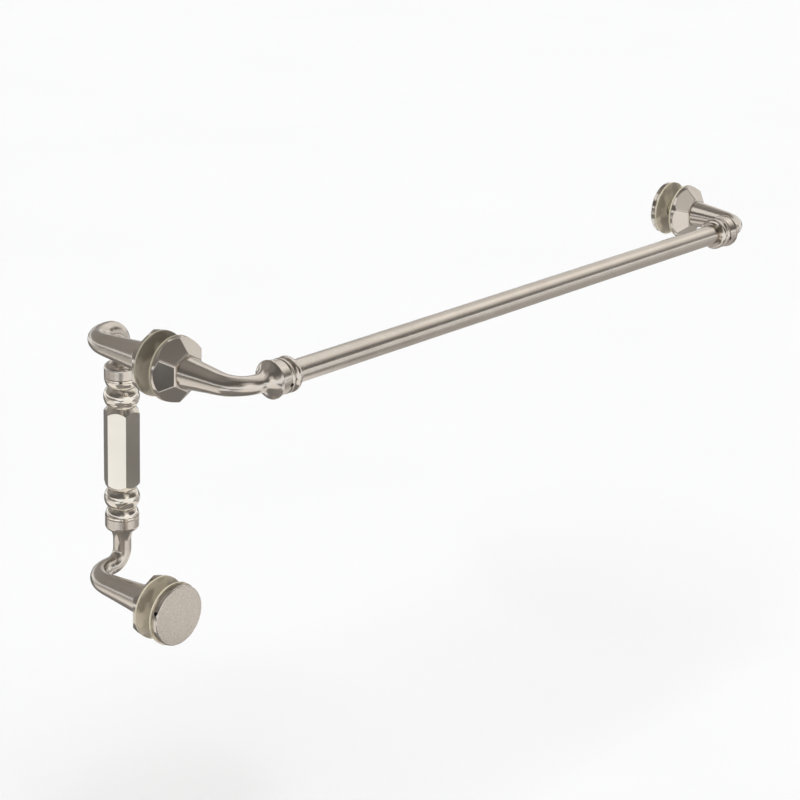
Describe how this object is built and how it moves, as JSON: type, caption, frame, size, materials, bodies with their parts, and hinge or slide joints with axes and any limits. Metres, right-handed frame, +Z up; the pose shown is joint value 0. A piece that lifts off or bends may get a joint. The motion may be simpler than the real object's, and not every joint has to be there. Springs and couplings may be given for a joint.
{
  "type": "shower door pull and towel bar set",
  "caption": "Back-to-back hardware for a glass shower door: a turned vertical pull with faceted grip on one side, a horizontal towel bar on curved posts on the other, faceted rosettes.",
  "frame": {"origin": "on the near bolt's axis, half way through the glass", "axes": "+X along the towel bar to the far post, +Y out of the glass on the pull's side, +Z up"},
  "size_m": [0.6548, 0.1737, 0.223],
  "materials": {
    "satin_nickel": "satin nickel plate, finely brushed",
    "polished_nickel": "nickel plate, buffed bright",
    "clear_washer": "clear vinyl, slightly yellow",
    "clear_sleeve": "clear plastic",
    "stud_steel": "plain steel",
    "screw_steel": "dark steel"
  },
  "bodies": {
    "root": {"towel_bar": "satin_nickel", "near_towel_post": "satin_nickel", "far_towel_post": "satin_nickel", "near_towel_base": "satin_nickel", "far_towel_base": "satin_nickel", "upper_pull_post": "satin_nickel", "lower_pull_post": "satin_nickel", "upper_pull_base": "satin_nickel", "lower_pull_base": "satin_nickel", "lower_cap": "satin_nickel", "far_cap": "satin_nickel", "pull_grip": "polished_nickel", "near_bar_ferrule": "polished_nickel", "far_bar_ferrule": "polished_nickel", "near_pull_washer": "clear_washer", "near_towel_washer": "clear_washer", "lower_pull_washer": "clear_washer", "lower_cap_washer": "clear_washer", "far_cap_washer": "clear_washer", "far_towel_washer": "clear_washer", "near_sleeve": "clear_sleeve", "lower_sleeve": "clear_sleeve", "far_sleeve": "clear_sleeve", "near_bolt": "stud_steel", "lower_bolt": "stud_steel", "far_bolt": "stud_steel", "upper_grip_stud": "stud_steel", "lower_grip_stud": "stud_steel", "lower_cap_set_screw": "screw_steel", "far_cap_set_screw": "screw_steel", "near_bar_set_screw": "screw_steel", "far_bar_set_screw": "screw_steel"}
  },
  "joints": []
}
